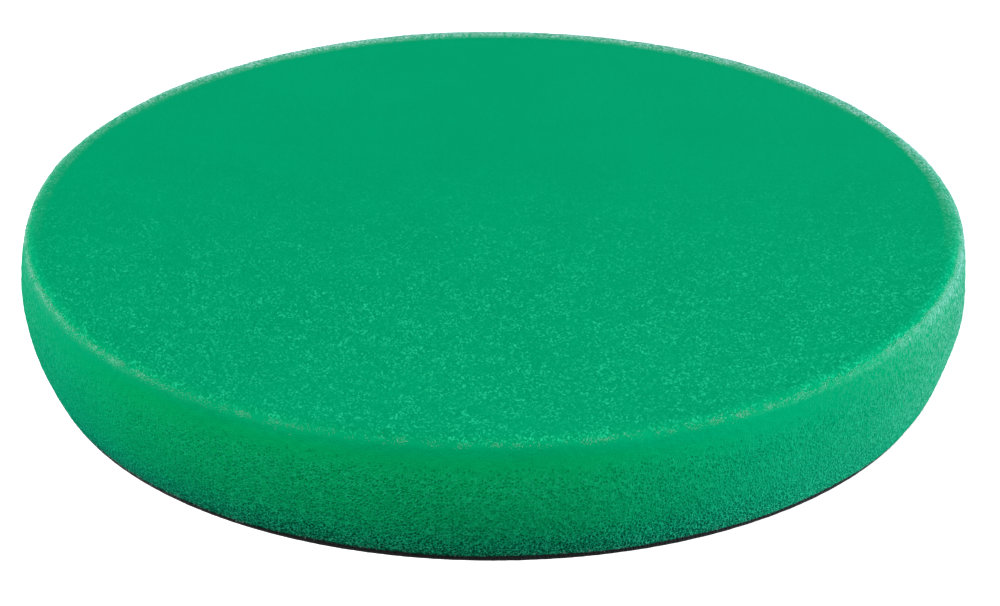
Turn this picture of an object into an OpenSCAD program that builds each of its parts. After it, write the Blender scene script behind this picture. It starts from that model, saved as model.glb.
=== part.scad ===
// Foam polishing pad, 200 x 30 mm, with a hook-and-loop backing.
// The pad lies with its backing down and its working face up.
// The origin is the centre of the loop face, and +Z is the pad's axis of rotation.

/* [Foam] */
// Diameter of the pad at its widest, in mm
pad_d = 200; // [130:1:250]
// Thickness of the foam, in mm
foam_t = 29; // [15:0.5:40]
// Radius of the arc that the side is cut to, seen in section, in mm
side_radius = 40; // [36:1:60]
// Height at which the side is widest, as a share of the whole thickness
widest_share = 0.71; // [0.5:0.01:0.8]
// Radius of the soft edge round the working face, in mm
rim_radius = 2.8; // [1:0.1:3]

/* [Backing] */
// How far the backing stops short of the foam's lower edge, in mm
backing_inset = 0.9; // [0:0.1:5]
// Thickness of the film of adhesive that bonds the backing to the foam, in mm
film_t = 0.2; // [0.1:0.05:0.5]
// Thickness of the knitted backing fabric without its loops, in mm
fabric_t = 0.5; // [0.3:0.1:1]
// Height of the loops under the fabric, in mm
pile_t = 0.8; // [0.4:0.1:1.5]

/* [Hidden] */
$fn = 240;

// Heights of the layers above the resting face
fabric_z = pile_t;
film_z = fabric_z + fabric_t;
foam_z = film_z + film_t;
top_z = foam_z + foam_t;

// Section of the foam's side: a large arc, rounded over into the working face
widest_z = widest_share * top_z;
side_centre_r = pad_d / 2 - side_radius;
rim_centre_z = top_z - rim_radius;
rim_rise = rim_centre_z - widest_z;
centre_gap = side_radius - rim_radius;
rim_centre_r = side_centre_r + sqrt(centre_gap * centre_gap - rim_rise * rim_rise);
tangent_z = widest_z + rim_rise * side_radius / centre_gap;

// Backing discs
base_drop = widest_z - foam_z;
foam_base_r = side_centre_r + sqrt(side_radius * side_radius - base_drop * base_drop);
backing_r = foam_base_r - backing_inset;

// Half section of the foam, from the axis outwards
module foam_section() {
    translate([0, foam_z])
        square([side_centre_r, top_z - foam_z]);
    intersection() {
        translate([side_centre_r, widest_z])
            circle(r = side_radius);
        translate([side_centre_r, foam_z])
            square([side_radius, tangent_z - foam_z]);
    }
    translate([side_centre_r, foam_z])
        square([rim_centre_r - side_centre_r, top_z - foam_z]);
    translate([rim_centre_r, rim_centre_z])
        circle(r = rim_radius);
}

// Open-cell polyurethane foam, cut to a barrel side
module foam_disc() {
    color([0, 0.65, 0.43])
        rotate_extrude()
            foam_section();
}

// One flat layer of the backing
module backing_layer(z, t) {
    translate([0, 0, z])
        cylinder(r = backing_r, h = t);
}

// Hot-melt film that bonds the fabric to the foam
module adhesive_film() {
    color([0.13, 0.14, 0.13])
        backing_layer(film_z, film_t);
}

// Knitted ground of the hook-and-loop backing
module backing_fabric() {
    color([0.08, 0.09, 0.09])
        backing_layer(fabric_z, fabric_t);
}

// Brushed loops that a hook-faced backing plate grips
module loop_pile() {
    color([0.05, 0.05, 0.05])
        backing_layer(0, pile_t);
}

foam_disc();
adhesive_film();
backing_fabric();
loop_pile();
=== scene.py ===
"""Foam polishing pad: a green foam disc, its black hook-and-loop backing and a studio stage."""

import math
from collections import namedtuple

import bpy
import numpy as np
from bpy.props import FloatProperty, FloatVectorProperty, IntProperty, PointerProperty
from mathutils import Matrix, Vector, noise


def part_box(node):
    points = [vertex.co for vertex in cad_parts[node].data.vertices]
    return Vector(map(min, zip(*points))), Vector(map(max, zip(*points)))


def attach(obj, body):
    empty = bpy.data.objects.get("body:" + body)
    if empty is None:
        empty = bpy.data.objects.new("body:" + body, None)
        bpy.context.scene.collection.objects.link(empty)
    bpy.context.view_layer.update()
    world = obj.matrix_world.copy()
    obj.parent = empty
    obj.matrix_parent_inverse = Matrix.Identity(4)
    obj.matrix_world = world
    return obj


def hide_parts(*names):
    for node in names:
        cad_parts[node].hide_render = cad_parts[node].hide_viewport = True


bl_info = {
    "name": "Foam Polishing Pad",
    "version": (1, 0, 0),
    "blender": (4, 5, 0),
    "location": "View3D > Sidebar > Polishing Pad",
    "description": "Builds a foam polishing pad with its loop backing and a studio stage",
    "category": "Object",
}

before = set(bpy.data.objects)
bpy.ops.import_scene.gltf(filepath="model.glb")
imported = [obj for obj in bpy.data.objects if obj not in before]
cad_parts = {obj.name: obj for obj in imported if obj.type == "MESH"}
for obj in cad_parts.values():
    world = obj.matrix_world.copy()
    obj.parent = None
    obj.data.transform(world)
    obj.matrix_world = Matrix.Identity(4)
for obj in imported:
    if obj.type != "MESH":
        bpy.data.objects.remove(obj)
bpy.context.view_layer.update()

MM = 0.001
BODY = "root"
foam_low, foam_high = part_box("foam_disc")
fabric_low, fabric_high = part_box("backing_fabric")
pile_low, pile_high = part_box("loop_pile")
PAD_R = foam_high.x
BACKING_R = pile_high.x
# Towards the photo's camera, as a fixed direction in the pad's own frame. It stands for no feature of a real
# pad: it only places the pale torn rim that the photo shows, and it does not follow the camera
# It sets where the rim is painted paler, as a painted sheen of grazing light
PHOTO_SIDE = (0.0, -0.894, 0.447)


# ---------------------------------------------------------------- settings


class FoamSettings(bpy.types.PropertyGroup):
    """Shape and colours of the foam"""

    side_radius: FloatProperty(
        name="Side radius",
        description="Radius of the arc that the side is cut to, seen in section",
        default=0.040,
        unit="LENGTH",
    )
    widest_share: FloatProperty(
        name="Widest height",
        description="Height at which the side is widest, as a share of the whole thickness",
        default=0.71,
        subtype="FACTOR",
        min=0.5,
        max=0.8,
    )
    rim_radius: FloatProperty(
        name="Rim radius",
        description="Radius of the soft edge round the working face",
        default=0.0028,
        unit="LENGTH",
    )
    columns: IntProperty(
        name="Columns",
        description="Steps round the rim; a multiple of 128, so that rings can halve towards the middle",
        default=1024,
        min=128,
    )
    cell_size: FloatProperty(
        name="Cell size",
        description="Mean width of a foam cell",
        default=0.00060,
        unit="LENGTH",
    )
    unevenness: FloatProperty(
        name="Unevenness",
        description="Depth of the slow waves that the saw and the cure leave in the side",
        default=0.00022,
        unit="LENGTH",
    )
    cut_depth: FloatProperty(
        name="Cut depth",
        description="Depth of the open cells that the cut leaves in the surface",
        default=0.00005,
        unit="LENGTH",
    )
    strut_reach: FloatProperty(
        name="Strut reach",
        description="Longest loose cell strut that stands out at the rim and at the lower edge",
        default=0.0006,
        unit="LENGTH",
    )
    rim_struts: IntProperty(
        name="Rim struts",
        description="Number of loose cell struts round the rim",
        default=26000,
        min=0,
    )
    base_struts: IntProperty(
        name="Lower struts",
        description="Number of loose cell struts along the lower edge",
        default=3000,
        min=0,
    )
    colour: FloatVectorProperty(
        name="Foam colour",
        description="Colour of the foam's body",
        subtype="COLOR",
        size=4,
        default=(0.0, 0.50, 0.145, 1.0),
    )
    # The face's own green with a painted sheen in it; the same green is painted onto the right, the far left
    # and near the base as sheen
    face_and_sheen_colour: FloatVectorProperty(
        name="Face colour",
        description="Colour of the working face, where closed cell windows show",
        subtype="COLOR",
        size=4,
        default=(0.0, 0.485, 0.19, 1.0),
    )
    # Painted shade: the darkness deep inside an open cell, and the colour of the painted shade at the base
    # and crest
    pore_shade_colour: FloatVectorProperty(
        name="Pore colour",
        description="Colour deep inside an open cell",
        subtype="COLOR",
        size=4,
        default=(0.0, 0.06, 0.025, 1.0),
    )
    # Painted highlights: the colour of the painted glints on cell windows and cut struts, and of the painted
    # light on the face and side
    painted_glint_colour: FloatVectorProperty(
        name="Glint colour",
        description="Colour of cell windows and cut struts that catch the light",
        subtype="COLOR",
        size=4,
        default=(0.022, 0.80, 0.38, 1.0),
    )
    strut_colour: FloatVectorProperty(
        name="Strut colour",
        description="Colour of thin loose struts, which let light through",
        subtype="COLOR",
        size=4,
        default=(0.42, 0.85, 0.71, 1.0),
    )


class BackingSettings(bpy.types.PropertyGroup):
    """Shape and colours of the hook-and-loop backing"""

    loop_pitch: FloatProperty(
        name="Loop pitch",
        description="Distance between neighbouring loops of the pile",
        default=0.0023,
        unit="LENGTH",
    )
    yarn_width: FloatProperty(
        name="Yarn width",
        description="Thickness of a loop's bundle of filaments",
        default=0.00026,
        unit="LENGTH",
    )
    wale_pitch: FloatProperty(
        name="Wale pitch",
        description="Distance between the columns of stitches in the knitted ground",
        default=0.0009,
        unit="LENGTH",
    )
    fabric_colour: FloatVectorProperty(
        name="Fabric colour",
        description="Colour of the knitted ground",
        subtype="COLOR",
        size=4,
        default=(0.004, 0.0045, 0.0045, 1.0),
    )
    loop_colour: FloatVectorProperty(
        name="Loop colour",
        description="Colour of the brushed loops",
        subtype="COLOR",
        size=4,
        default=(0.012, 0.012, 0.013, 1.0),
    )
    film_colour: FloatVectorProperty(
        name="Film colour",
        description="Colour of the adhesive film's edge",
        subtype="COLOR",
        size=4,
        default=(0.020, 0.024, 0.021, 1.0),
    )


class StageSettings(bpy.types.PropertyGroup):
    """Camera, floor and light"""

    view_elevation: FloatProperty(
        name="View elevation",
        description="Height of the camera's line of sight above the horizon",
        default=math.radians(26.55),
        subtype="ANGLE",
    )
    view_distance: FloatProperty(
        name="View distance",
        description="Distance from the camera to the point that it looks at",
        default=2.0,
        unit="LENGTH",
    )
    lens: FloatProperty(
        name="Lens",
        description="Focal length of the long lens, in millimetres",
        default=338.8,
    )
    aim: FloatVectorProperty(
        name="Aim",
        description="Point that the camera looks at",
        subtype="XYZ",
        unit="LENGTH",
        default=(0.00134, 0.0, 0.01212),
    )
    floor_size: FloatProperty(
        name="Floor size",
        description="Radius of the round floor",
        default=12.0,
        unit="LENGTH",
    )
    floor_colour: FloatVectorProperty(
        name="Floor colour",
        description="Colour of the pale floor",
        subtype="COLOR",
        size=4,
        default=(0.92, 0.92, 0.92, 1.0),
    )
    floor_glow: FloatProperty(
        name="Floor glow",
        description="Light of the floor itself, as of a backlit table",
        default=1.05,
    )
    sky_glow: FloatProperty(
        name="Sky glow",
        description="Strength of the even light from all round",
        default=0.125,
    )


# ---------------------------------------------------------------- shader maths


class Shade:
    """One socket of a node tree. Arithmetic on it adds Math nodes."""

    def __init__(self, nodes, socket):
        self.nodes = nodes
        self.socket = socket

    def math(self, operation, *values, **settings):
        return self.nodes.add("ShaderNodeMath", {"operation": operation, **settings}, *values)

    def __add__(self, other):
        return self.math("ADD", self, other)

    __radd__ = __add__

    def __sub__(self, other):
        return self.math("SUBTRACT", self, other)

    def __rsub__(self, other):
        return self.math("SUBTRACT", other, self)

    def __mul__(self, other):
        return self.math("MULTIPLY", self, other)

    __rmul__ = __mul__

    def __truediv__(self, other):
        return self.math("DIVIDE", self, other)

    def __pow__(self, other):
        return self.math("POWER", self, other)

    def root(self):
        return self.math("SQRT", self)

    def absolute(self):
        return self.math("ABSOLUTE", self)

    def wave(self):
        """Swings smoothly between 0 and 1, once for each whole turn."""
        return self.math("SINE", self) * 0.5 + 0.5

    def there_and_back(self, length):
        return self.math("PINGPONG", self, length)

    def clamped(self):
        return self.math("ADD", self, 0.0, use_clamp=True)

    def ramp(self, start, end, low=0.0, high=1.0):
        """Turns smoothly from low at start to high at end. start may be above end."""
        if start > end:
            start, end, low, high = end, start, high, low
        return self.nodes.add(
            "ShaderNodeMapRange", {"interpolation_type": "SMOOTHSTEP"}, self, start, end, low, high
        )


class Nodes:
    """Adds nodes to one node tree."""

    def __init__(self, tree):
        self.tree = tree

    def add(self, kind, settings, *values, out=0, **named):
        """A node of that kind: its settings are set first, then its sockets by order or by name."""
        node = self.tree.nodes.new(kind)
        for name, value in settings.items():
            setattr(node, name, value)
        for key, value in [*enumerate(values), *named.items()]:
            socket = node.inputs[key.replace("_", " ") if isinstance(key, str) else key]
            if isinstance(value, Shade):
                self.tree.links.new(value.socket, socket)
            elif value is not None:
                socket.default_value = value
        return Shade(self, node.outputs[out]) if node.outputs else None

    def place(self):
        """The point on the piece, in millimetres."""
        coordinates = self.add("ShaderNodeTexCoord", {}, out="Object")
        return self.scaled(coordinates, (1 / MM,) * 3)

    def scaled(self, vector, scale):
        return self.add("ShaderNodeVectorMath", {"operation": "MULTIPLY"}, vector, scale)

    def split(self, vector):
        x = self.add("ShaderNodeSeparateXYZ", {}, vector)
        return x, Shade(self, x.socket.node.outputs["Y"]), Shade(self, x.socket.node.outputs["Z"])

    def turned_away(self, direction):
        """0 where the surface squarely faces that direction or its opposite, 1 where it is side on."""
        normal = self.add("ShaderNodeTexCoord", {}, out="Normal")
        facing = self.add(
            "ShaderNodeVectorMath", {"operation": "DOT_PRODUCT"}, normal, direction, out="Value"
        )
        return 1.0 - facing.absolute()

    def noise(self, vector, size, detail=2.0, roughness=0.5):
        """Smooth noise from 0 to 1, with lumps of that size in millimetres."""
        return self.add(
            "ShaderNodeTexNoise",
            {"noise_dimensions": "3D"},
            Vector=vector,
            Scale=1 / size,
            Detail=detail,
            Roughness=roughness,
        )

    def cells(self, vector, size, feature, out="Distance", randomness=1.0):
        """Cells of that size in millimetres: distance to the edge or middle, or a colour."""
        return self.add(
            "ShaderNodeTexVoronoi",
            {"feature": feature},
            Vector=vector,
            Scale=1 / size,
            Randomness=randomness,
            out=out,
        )

    def draws(self, vector, size):
        """Three random numbers from 0 to 1 for each cell of that size."""
        return self.split(self.cells(vector, size, "F1", out="Color"))

    def mix(self, share, first, second):
        """first where share is 0, second where it is 1. Both are colours."""
        node = self.tree.nodes.new("ShaderNodeMix")
        node.data_type = "RGBA"
        for index, value in ((0, share), (6, first), (7, second)):
            if isinstance(value, Shade):
                self.tree.links.new(value.socket, node.inputs[index])
            else:
                node.inputs[index].default_value = value
        return Shade(self, node.outputs[2])

    def bump(self, height, distance, strength, normal=None):
        return self.add(
            "ShaderNodeBump", {}, Height=height, Distance=distance, Strength=strength, Normal=normal
        )

    def surface(self, **sockets):
        """The piece's shader, with its sockets by name."""
        shader = self.add("ShaderNodeBsdfPrincipled", {}, **sockets)
        self.add("ShaderNodeOutputMaterial", {}, shader)


def new_material(name):
    """(material, its nodes), with an empty tree."""
    material = bpy.data.materials.new(name)
    material.use_nodes = True
    material.node_tree.nodes.clear()
    return material, Nodes(material.node_tree)


# ---------------------------------------------------------------- materials


def tinted(colour, factor):
    """The colour made lighter or darker by that factor."""
    return tuple(min(1.0, factor * c) for c in colour[:3]) + (1.0,)


class FoamSurface:
    """Where a point of the foam lies, in millimetres, and what its materials share there."""

    def __init__(self, n):
        self.n = n
        self.place = n.place()
        self.x, self.y, z = n.split(self.place)
        self.radius = (self.x * self.x + self.y * self.y).root()
        self.inward = PAD_R / MM - self.radius
        self.down = foam_high.z / MM - z
        self.up = z - foam_low.z / MM
        self.on_face = self.down.ramp(1.5, 0.3)
        self.on_side = self.down.ramp(0.8, 3.0)
        self.near_base = self.up.ramp(12.0, 0.0)
        self.turned_away = n.turned_away(PHOTO_SIDE)
        self.streaks = n.noise(n.scaled(self.place, (1.0, 1.0, 0.35)), 0.42, detail=2.0)
        self.fine = n.draws(n.scaled(self.place, (1.0, 0.55, 1.0)), 0.32)[0]


def open_cells(at, cell):
    """(share of the cells that are open, their mouths, distance to the nearest strut).

    Few cells are open below the rim, most of them at the base.
    """
    n = at.n
    grain = n.scaled(at.place, (1.0, 1.0, 0.85))
    to_middle = n.cells(grain, cell, "F1")
    to_strut = n.cells(grain, cell, "DISTANCE_TO_EDGE")
    window = n.draws(grain, cell)[0]
    share = at.down.ramp(4.0, 11.0, 0.0, 0.8) * at.x.ramp(-85.0, -45.0, 0.65, 1.0)
    share = share + at.near_base * 0.3
    mouth = ((at.near_base * 0.12 + 0.52 - to_middle) * 3.2).clamped()
    return share, mouth * (share - window).ramp(-0.05, 0.12), to_strut


def painted_pore_shade(at, pore, patches):
    """Painted shade in the open cells: darkest at the base, lighter towards the left and right ends."""
    ends = (at.x * at.x).ramp(25.0**2, 95.0**2) + at.x.ramp(40.0, 72.0) * 0.35
    depth = pore * patches.ramp(0.25, 0.75, 0.7, 1.0) * (at.near_base * 0.95 + 0.45)
    return (depth * (1.0 - ends * 0.7)).clamped()


def rim_fringe_and_painted_light(at):
    """(pale fringe, glints): torn struts along the rim, paler where painted sheen and painted rim light fall
    on them, in a wider band at the far edge; the glints are painted at the front of the rim.
    """
    tufts = at.n.noise(at.place, 3.5, detail=1.0)
    fringe = at.fine.ramp(0.3, 0.95) * 1.2 + at.streaks.ramp(0.42, 0.6) * 0.6
    fringe = fringe * tufts.ramp(0.3, 0.6, 0.5, 1.0)
    across = at.inward - 0.75
    below = at.down - 1.7
    off_rim = (across * across + below * below).root() / (at.turned_away * 2.4 + 0.32)
    # Painted sheen: the rim is paler where it turns side on to a fixed direction
    rim = off_rim.ramp(1.2, 0.15) * at.turned_away.ramp(0.0, 0.85)
    rim = rim * at.x.ramp(-90.0, 20.0, 0.11, 0.4)
    # Painted rim light along the far edge, in a wider band
    painted_far_rim_light = at.inward.ramp(6.4, 1.6) * at.y.ramp(-20.0, 100.0) * at.on_face
    painted_far_rim_light = painted_far_rim_light * (at.inward.ramp(5.2, 4.0) + at.y.ramp(45.0, 82.0)).clamped()
    painted_far_rim_light = painted_far_rim_light * at.x.ramp(-100.0, -40.0, 0.5, 1.8)
    pale = (rim * at.y.ramp(-95.0, -60.0, 0.5, 1.0) + painted_far_rim_light) * (fringe + 0.06)
    return pale, rim * fringe * at.y.ramp(-30.0, -90.0)


def painted_side_light(at, stroke):
    """Painted light on the side's torn struts: pale strokes on the right end, where light grazes the side,
    and a few on the left end.
    """
    to_right = at.x / at.radius
    to_left = to_right * -1.0
    ends = to_right.clamped() ** 10.0 * 0.27 + to_left.clamped() ** 20.0 * 0.055
    # The pale strokes are painted light on the struts, strongest towards the right end
    brushed = ends * (stroke * 2.8 + 0.1) * at.on_side
    return brushed * at.up.ramp(1.0, 8.0, 0.2, 1.0) * at.down.ramp(7.0, 3.0, 1.0, 1.25)


def painted_face_glints(at):
    """(painted glints, darker cells) on the working face: fine ones and a few larger glints, most towards
    the front.
    """
    n = at.n
    large = n.draws(n.scaled(at.place, (1.0, 0.6, 1.0)), 0.45)[1]
    clusters = n.noise(at.place, 5.0).ramp(0.35, 0.62, 0.35, 1.0) * at.y.ramp(45.0, -55.0, 0.04, 0.95)
    painted_glint = at.fine.ramp(0.45, 1.0) ** 2.0 * 0.8 + large.ramp(0.93, 0.99) * 0.8
    dark_cells = at.fine.ramp(0.45, 0.0) * 0.16
    return painted_glint * clusters * at.on_face, dark_cells * clusters * at.on_face


def cut_strut_glints(at, share, stroke):
    """Painted glints on the ends of the struts that the saw cut, on the side, with a lighter mottle."""
    mottle = at.n.noise(at.n.scaled(at.place, (1.0, 1.0, 0.6)), 0.55, detail=1.0).ramp(0.5, 0.68)
    painted_light_and_tone = stroke * (at.near_base * 0.5 + 0.4) + mottle * 0.25
    return painted_light_and_tone * (share * 0.9 + at.on_side * 0.1)


def painted_sheen_share(at):
    """Painted sheen: the face's cooler green, as white light glancing off the foam gives it, on the face, on
    the right, at the far left and near the base.
    """
    to_left = at.x.ramp(-70.0, -95.0) * 0.8
    painted_sheen = at.down.ramp(5.5, 1.5) + at.x.ramp(10.0, 64.0) + to_left + at.near_base**2.0
    return painted_sheen.clamped()


def mottle_and_painted_shade(at):
    """Slow mottle over the whole foam, with painted shade: darker towards the base, less so on the right,
    and at the crest of the rim.
    """
    slow = at.n.noise(at.place, 22.0, detail=2.0).ramp(0.3, 0.7, 0.0, 0.05)
    crest = at.inward.ramp(3.6, 1.6) * at.on_face * 0.1
    base = at.up.ramp(6.0, -0.5) * 0.42 + at.up.ramp(2.5, 0.0) * 0.12
    return slow + (base * at.x.ramp(75.0, 35.0, 0.25, 1.0) + crest)


def painted_light_share(at):
    """Painted light: the far part of the face and the lower right of the side are a little lighter."""
    face = (at.x.ramp(-40.0, 95.0) * 0.045 + at.y.ramp(-20.0, 95.0) * 0.06) * at.on_face
    return face + at.x.ramp(30.0, 65.0) * at.down.ramp(8.0, 18.0) * 0.12


def foam_material(foam):
    """Open-cell foam: pores that open towards the base, with painted shade in them, a torn pale rim with
    painted sheen and rim light, painted glints on the face, painted shade at the base and crest and painted
    light on the side.
    """
    material, n = new_material("green_foam")
    at = FoamSurface(n)
    share, pore, to_strut = open_cells(at, foam.cell_size / MM)
    strut = to_strut.ramp(0.14, 0.02)
    stroke = to_strut.ramp(0.3, 0.05) * at.streaks.ramp(0.42, 0.58)
    patches = n.noise(at.place, 2.4, detail=3.0)
    # Pale fringe of the rim with painted sheen and rim light in it, and painted glints at the front of the
    # rim
    fringe, painted_rim_sparkle = rim_fringe_and_painted_light(at)
    # Painted glints on the face, and darker cells among them
    painted_glint, dark_cells = painted_face_glints(at)

    pore_shade_colour = tuple(foam.pore_shade_colour)
    # Painted sheen: the face's cooler green, also on the right, the far left and near the base
    colour = n.mix(painted_sheen_share(at), tuple(foam.colour), tuple(foam.face_and_sheen_colour))
    # Painted shade at the base and crest, a slow mottle and the face's darker cells
    colour = n.mix(mottle_and_painted_shade(at) + dark_cells, colour, pore_shade_colour)
    # Painted shade in the open cells
    colour = n.mix(painted_pore_shade(at, pore, patches), colour, pore_shade_colour)
    # Painted glints and painted light, with a lighter mottle
    painted_light_and_tone = painted_glint + cut_strut_glints(at, share, stroke) + painted_rim_sparkle + painted_light_share(at)
    colour = n.mix(painted_light_and_tone.clamped(), colour, tuple(foam.painted_glint_colour))
    # Pale struts: the rim's fringe with its painted sheen and rim light, painted light on the side's struts,
    # and ragged struts at the lower edge
    ragged = at.up.ramp(4.0, 0.0) * strut * at.streaks.ramp(0.4, 0.6) * 0.08
    pale = fringe + painted_side_light(at, stroke) + ragged
    colour = n.mix(pale.clamped(), colour, tuple(foam.strut_colour))

    height = (strut - pore + patches * 0.4) * (share * 0.6 + 0.3)
    n.surface(
        Base_Color=colour,
        Roughness=0.92 - painted_glint * 0.35,
        Normal=n.bump(height, 0.2 * MM, 0.7),
        Specular_IOR_Level=0.0,
        Sheen_Weight=0.2,
        Sheen_Roughness=0.45,
        Sheen_Tint=(0.0, 1.0, 0.75, 1.0),
    )
    return material


def strut_material(foam):
    """Thin loose struts: paler than the foam's body, as light passes through them."""
    material, n = new_material("pale_struts")
    tone = n.noise(n.place(), 0.5, detail=2.0)
    own = tuple(foam.strut_colour)
    n.surface(
        Base_Color=n.mix(tone.ramp(0.35, 0.65), own, tinted(own, 1.15)),
        Roughness=0.8 - tone * 0.1,
        Specular_IOR_Level=0.1,
        Sheen_Weight=0.4,
        Sheen_Roughness=0.4,
        Sheen_Tint=(0.7, 1.0, 0.9, 1.0),
    )
    return material


def fabric_material(backing):
    """Knitted ground: columns of small stitches that lean to and fro."""
    material, n = new_material("black_knit")
    place = n.place()
    x, y, _ = n.split(place)
    pitch = backing.wale_pitch / MM
    turns = math.tau / pitch
    lean = x.there_and_back(0.5 * pitch)
    wale = (x * turns).wave()
    stitch = ((y + lean * 1.4) * (turns * 1.3)).wave()
    fibres = n.noise(n.scaled(place, (6.0, 1.5, 6.0)), 1.0, detail=3.0)
    height = wale * 0.5 + stitch * 0.35 + fibres * 0.3
    dark = tuple(backing.fabric_colour)
    n.surface(
        # Painted light and shade: the raised stitches are lighter and the low ones darker, with the fibres'
        # own tone in it
        Base_Color=n.mix((height * 0.8).clamped(), dark, tinted(dark, 3.2)),
        Roughness=0.88 - fibres * 0.15,
        Normal=n.bump(height, 0.2 * MM, 0.7),
        Specular_IOR_Level=0.2,
        Sheen_Weight=0.06,
        Sheen_Roughness=0.4,
    )
    return material


def loop_material(backing):
    """Bundles of fine filaments, a little paler where they are worn open."""
    material, n = new_material("black_loops")
    place = n.place()
    _, _, z = n.split(place)
    filaments = n.noise(n.scaled(place, (5.0, 5.0, 2.0)), 0.6, detail=3.0)
    shades = n.noise(place, 5.0)
    worn = z.ramp(pile_high.z / MM, pile_low.z / MM) * 0.5
    dark = tuple(backing.loop_colour)
    pale_share = (filaments * shades + worn * filaments).clamped()
    n.surface(
        Base_Color=n.mix(pale_share, dark, tinted(dark, 4.5)),
        Roughness=0.55 + filaments * 0.3,
        Normal=n.bump(filaments, 0.05 * MM, 0.6),
        Sheen_Weight=0.35,
        Sheen_Roughness=0.35,
    )
    return material


def film_material(backing):
    """Hot-melt film: smoky, with small flow lumps and a slight gloss."""
    material, n = new_material("hot_melt_film")
    place = n.place()
    flow = n.noise(place, 1.2, detail=3.0)
    pooled = n.noise(place, 9.0)
    dark = tuple(backing.film_colour)
    n.surface(
        Base_Color=n.mix(flow.ramp(0.35, 0.7), dark, tinted(dark, 2.6)),
        Roughness=0.30 + pooled * 0.3,
        Normal=n.bump(flow, 0.08 * MM, 0.5),
    )
    return material


def floor_material(stage):
    """Matte paper, with a faint mottle."""
    material, n = new_material("pale_paper")
    pulp = n.noise(n.place(), 35.0, detail=3.0)
    pale = tuple(stage.floor_colour)
    n.surface(
        Base_Color=n.mix(pulp.ramp(0.4, 0.6), pale, tinted(pale, 0.985)),
        Roughness=0.9 - pulp * 0.05,
        Specular_IOR_Level=0.1,
        Emission_Color=pale,
        Emission_Strength=stage.floor_glow,
    )
    return material


# ---------------------------------------------------------------- meshes


Ring = namedtuple("Ring", "radius z normal_r normal_z columns")


def new_piece(name, vertices, faces, material):
    """A smooth-shaded mesh object in the scene."""
    mesh = bpy.data.meshes.new(name)
    mesh.from_pydata(vertices, [], faces)
    mesh.polygons.foreach_set("use_smooth", [True] * len(mesh.polygons))
    mesh.materials.append(material)
    mesh.update()
    piece = bpy.data.objects.new(name, mesh)
    bpy.context.scene.collection.objects.link(piece)
    return piece


def flat_rings(outer, inner_r, fine_rows):
    """Rings from a flat face's outer ring inwards. Past fine_rows, their columns halve as they shrink."""
    rings = []
    columns = outer.columns
    radius = outer.radius
    widest_step = 2.2 * math.tau * radius / columns
    while radius > inner_r:
        if len(rings) >= fine_rows and math.tau * radius / columns < 0.55 * widest_step and columns > 8:
            columns //= 2
        radius -= 0.95 * math.tau * radius / columns
        rings.append(outer._replace(radius=radius, columns=columns))
    return rings


def ring_band(first, second, first_start, second_start):
    """Faces between two rings that have the same columns, or one twice the other's."""
    a, b = first.columns, second.columns
    if a == b:
        return [
            (
                first_start + i,
                second_start + i,
                second_start + (i + 1) % b,
                first_start + (i + 1) % a,
            )
            for i in range(a)
        ]
    coarse_first = a < b
    few, many = (a, b) if coarse_first else (b, a)
    few_start, many_start = (
        (first_start, second_start) if coarse_first else (second_start, first_start)
    )
    faces = []
    for i in range(few):
        here, following = few_start + i, few_start + (i + 1) % few
        one, two, three = (many_start + (2 * i + k) % many for k in range(3))
        band = [(here, one, two), (here, two, following), (following, two, three)]
        faces += band if coarse_first else [face[::-1] for face in band]
    return faces


def lathe(rings):
    """(points, normals, faces) of a closed body of revolution. Its rings run from top to base."""
    points = [np.array([[0.0, 0.0, rings[0].z]])]
    normals = [np.array([[0.0, 0.0, 1.0]])]
    starts = []
    count = 1
    for ring in rings:
        angle = np.arange(ring.columns) * math.tau / ring.columns
        c, s = np.cos(angle), np.sin(angle)
        points.append(np.stack([ring.radius * c, ring.radius * s, np.full_like(c, ring.z)], 1))
        normals.append(
            np.stack([ring.normal_r * c, ring.normal_r * s, np.full_like(c, ring.normal_z)], 1)
        )
        starts.append(count)
        count += ring.columns
    points.append(np.array([[0.0, 0.0, rings[-1].z]]))
    normals.append(np.array([[0.0, 0.0, -1.0]]))
    inner, outer = rings[0].columns, rings[-1].columns
    faces = [(0, starts[0] + i, starts[0] + (i + 1) % inner) for i in range(inner)]
    for k in range(len(rings) - 1):
        faces += ring_band(rings[k], rings[k + 1], starts[k], starts[k + 1])
    faces += [(count, starts[-1] + (i + 1) % outer, starts[-1] + i) for i in range(outer)]
    return np.concatenate(points), np.concatenate(normals), faces


def waves(points, size, seed):
    """Smooth noise at each point, about -1 to 1, with lumps of that size in metres."""
    shift = Vector((seed, 2.0 * seed, 3.0 * seed))
    return np.array([2.0 * noise.noise(Vector(p) / size + shift) for p in points])


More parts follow.
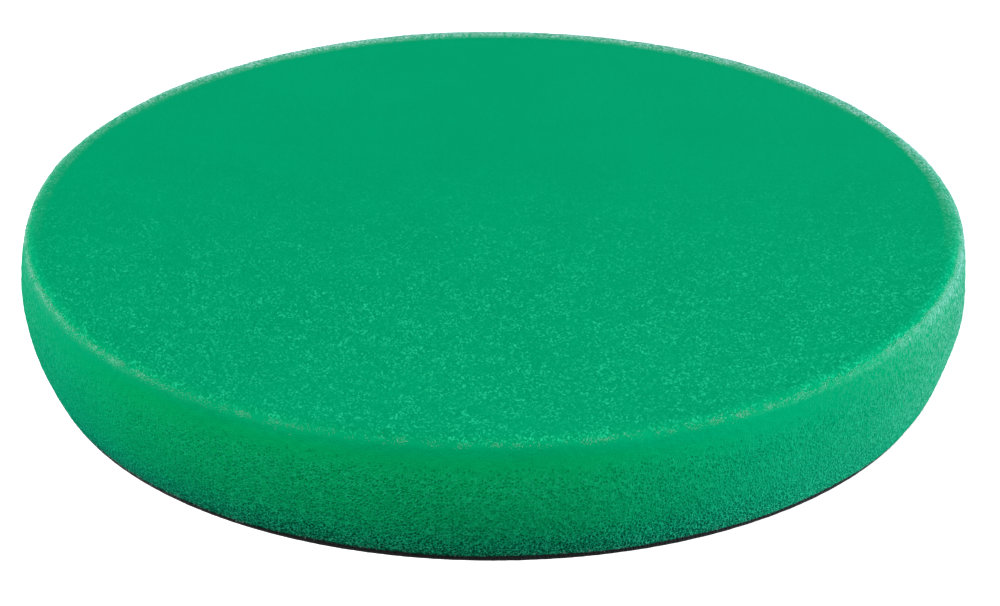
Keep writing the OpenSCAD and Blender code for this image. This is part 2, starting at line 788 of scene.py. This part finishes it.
def foam_rings(foam):
    """The foam's section, from the middle of the working face, over the rim, to the base's middle."""
    columns = foam.columns
    step = math.tau * PAD_R / columns
    widest_z = foam.widest_share * foam_high.z
    centre_r = PAD_R - foam.side_radius
    rim_z = foam_high.z - foam.rim_radius
    gap = foam.side_radius - foam.rim_radius
    rim_r = centre_r + math.sqrt(gap**2 - (rim_z - widest_z) ** 2)
    tangent = math.asin((rim_z - widest_z) / gap)
    lowest = math.asin((foam_low.z - widest_z) / foam.side_radius)

    face_edge = Ring(rim_r, foam_high.z, 0.0, 1.0, columns)
    rings = flat_rings(face_edge, 1.5 * MM, 6)[::-1] + [face_edge]
    rim_rows = math.ceil(foam.rim_radius * (math.pi / 2 - tangent) / step)
    for k in range(1, rim_rows + 1):
        turn = math.pi / 2 + (tangent - math.pi / 2) * k / rim_rows
        c, s = math.cos(turn), math.sin(turn)
        rings.append(Ring(rim_r + foam.rim_radius * c, rim_z + foam.rim_radius * s, c, s, columns))
    side_rows = math.ceil(foam.side_radius * (tangent - lowest) / step)
    for k in range(1, side_rows + 1):
        turn = tangent + (lowest - tangent) * k / side_rows
        c, s = math.cos(turn), math.sin(turn)
        radius, height = centre_r + foam.side_radius * c, widest_z + foam.side_radius * s
        rings.append(Ring(radius, height, c, s, columns))
    base_edge = Ring(rings[-1].radius - 0.5 * step, foam_low.z, 0.0, -1.0, columns)
    return rings + [base_edge] + flat_rings(base_edge, 4.0 * MM, 0)


def drift(foam, points, normals):
    """How far the slow waves of the saw and the cure move each point along its normal."""
    wave_length = 16 * MM
    return waves(points, wave_length, 1.7) * foam.unevenness * (1.0 - 0.88 * normals[:, 2] ** 2)


def foam_mesh(foam):
    """(points, faces) of the foam, with its slow waves and cut cells in the mesh."""
    points, normals, faces = lathe(foam_rings(foam))
    random = np.random.default_rng(11)
    on_base = normals[:, 2] < -0.99
    side = np.abs(normals[:, 2]) < 0.9
    cut = random.standard_normal(len(points)) * foam.cut_depth * np.where(side, 1.0, 0.5)
    move = np.where(on_base, 0.0, drift(foam, points, normals) + cut)
    points = points + normals * move[:, None]
    points[:, 2] = np.maximum(points[:, 2], foam_low.z)
    return points, faces


def struts_mesh(foam):
    """(points, faces) of the loose cell struts at the rim and the lower edge: a closed spike each."""
    random = np.random.default_rng(53)
    rings = foam_rings(foam)
    fine_rings = [ring for ring in rings if ring.columns == foam.columns]
    section = np.array([(r.radius, r.z, r.normal_r, r.normal_z) for r in fine_rings])
    walked = np.cumsum(np.r_[0.0, np.hypot(*np.diff(section[:, :2], axis=0).T)])
    rim_at = np.interp(foam_high.z - 1.2 * MM, section[::-1, 1], walked[::-1])
    base_at = np.interp(foam_low.z + 0.5 * MM, section[::-1, 1], walked[::-1])

    count = foam.rim_struts + foam.base_struts
    at_rim = np.arange(count) < foam.rim_struts
    around = random.uniform(0.0, math.tau, count)
    far = np.clip(np.sin(around), 0.0, 1.0) ** 0.5
    half_band = 0.4 * MM
    spread = random.normal(0.0, half_band, count)
    far_shift = 1.8 * MM
    at_top = rim_at + spread * (1.0 + far) - far_shift * far
    at_base = base_at + np.minimum(spread, half_band)
    reach = np.where(at_rim, at_top, at_base)
    radius, height, normal_r, normal_z = (np.interp(reach, walked, section[:, k]) for k in range(4))
    c, s = np.cos(around), np.sin(around)
    root = np.stack([radius * c, radius * s, height], 1)
    normal = np.stack([normal_r * c, normal_r * s, normal_z], 1)
    normal /= np.linalg.norm(normal, axis=1, keepdims=True)
    root_depth = 0.06 * MM
    root += normal * (drift(foam, root, normal) - root_depth)[:, None]
    sparse = 0.7 * np.clip(-np.sin(around), 0.0, 1.0) ** 2
    tuft_size = 3.0 * MM
    kept = random.uniform(-1.2, 1.0, count) < waves(root, tuft_size, 4.4) - sparse
    root, normal, count = root[kept], normal[kept], int(kept.sum())
    hang = np.where(at_rim[kept], 0.0, -0.5)

    point = normal + random.normal(0.0, 0.55, (count, 3))
    point[:, 2] += hang
    point /= np.linalg.norm(point, axis=1, keepdims=True)
    length = foam.strut_reach * random.uniform(0.35, 1.0, count)
    first = np.cross(point, normal + (0.01, 0.02, 0.03))
    first /= np.linalg.norm(first, axis=1, keepdims=True)
    second = np.cross(point, first)
    half_width = 0.035 * MM
    thirds = (0.0, 2.1, 4.2)
    corners = [root + half_width * (math.cos(t) * first + math.sin(t) * second) for t in thirds]
    points = np.stack(corners + [root + point * length[:, None]], 1).reshape(-1, 3)
    spike = ((2, 1, 0), (0, 1, 3), (1, 2, 3), (2, 0, 3))
    faces = [tuple(4 * i + v for v in face) for i in range(count) for face in spike]
    return points, faces


def fabric_mesh():
    """(points, faces) of the knitted ground: a thin disc with a cut edge."""
    edge_columns = 768
    top, bottom = fabric_high.z, fabric_low.z
    over = Ring(BACKING_R, top, 0.3, 0.95, edge_columns)
    rings = flat_rings(over, 3.0 * MM, 1)[::-1] + [over]
    rings.append(Ring(BACKING_R, (top + bottom) / 2, 1.0, 0.0, edge_columns))
    under = Ring(BACKING_R, bottom, 0.3, -0.95, edge_columns)
    rings += [under] + flat_rings(under, 3.0 * MM, 2)
    points, _, faces = lathe(rings)
    random = np.random.default_rng(23)
    radius = np.hypot(points[:, 0], points[:, 1])
    at_edge = radius > BACKING_R - 0.01 * MM
    fray_depth = 0.03
    fray = np.where(at_edge, random.normal(-fray_depth, fray_depth, len(points)) * MM, 0.0)
    points[:, :2] *= (1 + fray / np.maximum(radius, MM))[:, None]
    return points, faces


def mat_mesh():
    """(points, faces) of the dense foot of the pile: full depth at the cut edge, a lumpy felt within."""
    columns = 768
    foot = pile_low.z + 0.45 * (pile_high.z - pile_low.z)
    over = Ring(BACKING_R - 0.05 * MM, pile_high.z, 0.0, 1.0, columns)
    wall = Ring(BACKING_R, (pile_high.z + foot) / 2, 1.0, 0.0, columns)
    lip = Ring(BACKING_R - 0.04 * MM, pile_low.z + 0.05 * MM, 0.5, -0.8, columns)
    inner_lip = Ring(BACKING_R - 1.0 * MM, pile_low.z + 0.08 * MM, 0.0, -1.0, columns)
    under = Ring(BACKING_R - 1.9 * MM, foot, 0.0, -1.0, columns)
    rings = flat_rings(over, 60 * MM, 0)[::-1] + [over, wall, lip, inner_lip, under]
    points, normals, faces = lathe(rings + flat_rings(under, 2.0 * MM, 3))
    random = np.random.default_rng(41)
    inside = np.hypot(points[:, 0], points[:, 1]) < BACKING_R - 1.5 * MM
    lumps = 0.16 * MM * waves(points, 1.6 * MM, 5.2) + random.normal(0.0, 0.05, len(points)) * MM
    points[:, 2] += np.where(normals[:, 2] < -0.4, lumps, 0.0) * np.where(inside, 1.0, 0.2)
    points[:, 2] = np.maximum(points[:, 2], pile_low.z)
    return points, faces


def loops_mesh(backing):
    """(points, faces) of the brushed loops: each is a closed bent tube, rooted in the ground."""
    random = np.random.default_rng(31)
    pitch = backing.loop_pitch
    yarn = backing.yarn_width
    rows = int(2 * BACKING_R / (pitch * 0.87)) + 2
    feet = np.array(
        [
            ((i + 0.5 * (j % 2)) * pitch - BACKING_R, j * pitch * 0.87 - BACKING_R)
            for j in range(rows)
            for i in range(int(2 * BACKING_R / pitch) + 2)
        ]
    )
    feet += random.normal(0.0, 0.16 * pitch, feet.shape)
    feet = feet[np.hypot(feet[:, 0], feet[:, 1]) < BACKING_R - 0.95 * MM]
    count = len(feet)
    heading = random.normal(0.0, 0.75, count)
    span = random.uniform(1.0, 1.7, count) * MM
    height = (pile_high.z - pile_low.z - 0.5 * yarn) * random.uniform(0.72, 0.98, count)
    lean = random.normal(0.0, 0.4, count) * MM

    steps, sides = 5, 3
    t = np.linspace(0.0, math.pi, steps)
    along = -np.cos(t)[None, :] * span[:, None] / 2
    down = np.sin(t)[None, :] * height[:, None]
    sideways = np.sin(t)[None, :] * lean[:, None]
    c, s = np.cos(heading)[:, None], np.sin(heading)[:, None]
    centre = np.stack(
        [
            feet[:, :1] + along * c - sideways * s,
            feet[:, 1:] + along * s + sideways * c,
            pile_high.z - down,
        ],
        2,
    )
    across = np.stack([-s, c, np.zeros_like(c)], 2) + np.zeros_like(centre)
    tangent = np.gradient(centre, axis=1)
    tangent /= np.linalg.norm(tangent, axis=2, keepdims=True)
    other = np.cross(tangent, across)
    tubes = []
    for k in range(sides):
        turn = math.tau * k / sides
        tubes.append(centre + 0.5 * yarn * (math.cos(turn) * across + math.sin(turn) * other))
    points = np.stack(tubes, 2).reshape(-1, 3)
    points[:, 2] = np.clip(points[:, 2], pile_low.z, pile_high.z + 0.3 * yarn)

    one = []
    for i in range(steps - 1):
        for k in range(sides):
            a, b = i * sides + k, i * sides + (k + 1) % sides
            one.append((a, b, b + sides, a + sides))
    last = (steps - 1) * sides
    caps = [(2, 1, 0), (last, last + 1, last + 2)]
    size = steps * sides
    faces = [tuple(size * i + v for v in face) for i in range(count) for face in one + caps]
    return points, faces


# ---------------------------------------------------------------- stage


Softbox = namedtuple("Softbox", "name place width height power colour")
SOFTBOXES = (
    Softbox("front", (-2.2, -3.13, 4.1), 3.6, 3.2, 255.0, (1.0, 1.0, 1.0)),
    Softbox("right_edge", (0.99, -0.08, 0.07), 0.5, 0.12, 7.8, (0.9, 1.0, 1.12)),
    Softbox("left_edge", (-0.85, 0.53, 0.07), 0.4, 0.12, 4.4, (1.0, 1.0, 1.1)),
)


def add_softbox(box):
    light = bpy.data.lights.new(box.name, "AREA")
    light.shape = "RECTANGLE"
    light.size, light.size_y = box.width, box.height
    light.energy = box.power
    light.color = box.colour
    lamp = bpy.data.objects.new(box.name, light)
    lamp.location = box.place
    lamp.rotation_euler = (-Vector(box.place)).to_track_quat("-Z", "Y").to_euler()
    bpy.context.scene.collection.objects.link(lamp)


def add_floor(stage):
    """A round pale floor under the pad."""
    sides = 96
    circle = [(math.cos(math.tau * i / sides), math.sin(math.tau * i / sides)) for i in range(sides)]
    vertices = [(stage.floor_size * c, stage.floor_size * s, 0.0) for c, s in circle]
    floor = new_piece("floor", vertices, [tuple(range(sides))], floor_material(stage))
    floor.visible_diffuse = False


def add_sky(stage):
    """Even, dim white light from all round."""
    world = bpy.data.worlds.new("studio")
    world.use_nodes = True
    world.node_tree.nodes.clear()
    n = Nodes(world.node_tree)
    light = n.add("ShaderNodeBackground", {}, (1.0, 1.0, 1.0, 1.0), stage.sky_glow)
    n.add("ShaderNodeOutputWorld", {}, light)
    bpy.context.scene.world = world


def add_camera(stage):
    camera = bpy.data.objects.new("camera", bpy.data.cameras.new("camera"))
    tilt = stage.view_elevation
    back = Vector((0.0, -math.cos(tilt), math.sin(tilt)))
    camera.location = Vector(stage.aim) + stage.view_distance * back
    camera.rotation_euler = (-back).to_track_quat("-Z", "Y").to_euler()
    camera.data.lens = stage.lens
    camera.data.sensor_fit = "HORIZONTAL"
    camera.data.clip_end = 100.0
    bpy.context.scene.collection.objects.link(camera)
    bpy.context.scene.camera = camera


# ---------------------------------------------------------------- operators


class PAD_OT_foam(bpy.types.Operator):
    """Builds the foam disc"""

    bl_idname = "pad.foam"
    bl_label = "Foam disc"

    def execute(self, context):
        foam = context.scene.pad_foam
        piece = new_piece("foam", *foam_mesh(foam), foam_material(foam))
        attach(piece, BODY)
        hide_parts("foam_disc")

        struts = new_piece("loose_struts", *struts_mesh(foam), strut_material(foam))
        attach(struts, BODY)
        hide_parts("foam_disc")
        return {"FINISHED"}


class PAD_OT_backing(bpy.types.Operator):
    """Builds the adhesive film's finish, the knitted ground and the brushed loops"""

    bl_idname = "pad.backing"
    bl_label = "Hook-and-loop backing"

    def execute(self, context):
        backing = context.scene.pad_backing
        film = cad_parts["adhesive_film"]
        film.data.materials.clear()
        film.data.materials.append(film_material(backing))

        ground = new_piece("knitted_ground", *fabric_mesh(), fabric_material(backing))
        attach(ground, BODY)
        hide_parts("backing_fabric")

        mat = new_piece("pile_mat", *mat_mesh(), fabric_material(backing))
        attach(mat, BODY)
        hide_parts("loop_pile")

        loops = new_piece("brushed_loops", *loops_mesh(backing), loop_material(backing))
        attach(loops, BODY)
        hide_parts("loop_pile")
        return {"FINISHED"}


class PAD_OT_stage(bpy.types.Operator):
    """Sets the floor, the light and the camera"""

    bl_idname = "pad.stage"
    bl_label = "Studio stage"

    def execute(self, context):
        stage = context.scene.pad_stage
        add_floor(stage)
        add_sky(stage)
        for box in SOFTBOXES:
            add_softbox(box)
        add_camera(stage)
        context.scene.view_settings.view_transform = "Standard"
        return {"FINISHED"}


class PAD_PT_panel(bpy.types.Panel):
    """Lists the steps that build the pad"""

    bl_idname = "PAD_PT_panel"
    bl_label = "Polishing Pad"
    bl_space_type = "VIEW_3D"
    bl_region_type = "UI"
    bl_category = "Polishing Pad"

    def draw(self, context):
        steps = (
            ("pad.foam", context.scene.pad_foam),
            ("pad.backing", context.scene.pad_backing),
            ("pad.stage", context.scene.pad_stage),
        )
        for step, settings in steps:
            box = self.layout.box()
            box.operator(step)
            for name in settings.__annotations__:
                box.prop(settings, name)


CLASSES = (
    FoamSettings,
    BackingSettings,
    StageSettings,
    PAD_OT_foam,
    PAD_OT_backing,
    PAD_OT_stage,
    PAD_PT_panel,
)


def register():
    for cls in CLASSES:
        bpy.utils.register_class(cls)
    bpy.types.Scene.pad_foam = PointerProperty(type=FoamSettings)
    bpy.types.Scene.pad_backing = PointerProperty(type=BackingSettings)
    bpy.types.Scene.pad_stage = PointerProperty(type=StageSettings)


def unregister():
    del bpy.types.Scene.pad_stage
    del bpy.types.Scene.pad_backing
    del bpy.types.Scene.pad_foam
    for cls in reversed(CLASSES):
        bpy.utils.unregister_class(cls)


def main():
    register()
    bpy.ops.pad.foam()
    bpy.ops.pad.backing()
    bpy.ops.pad.stage()


if __name__ == "__main__":
    main()
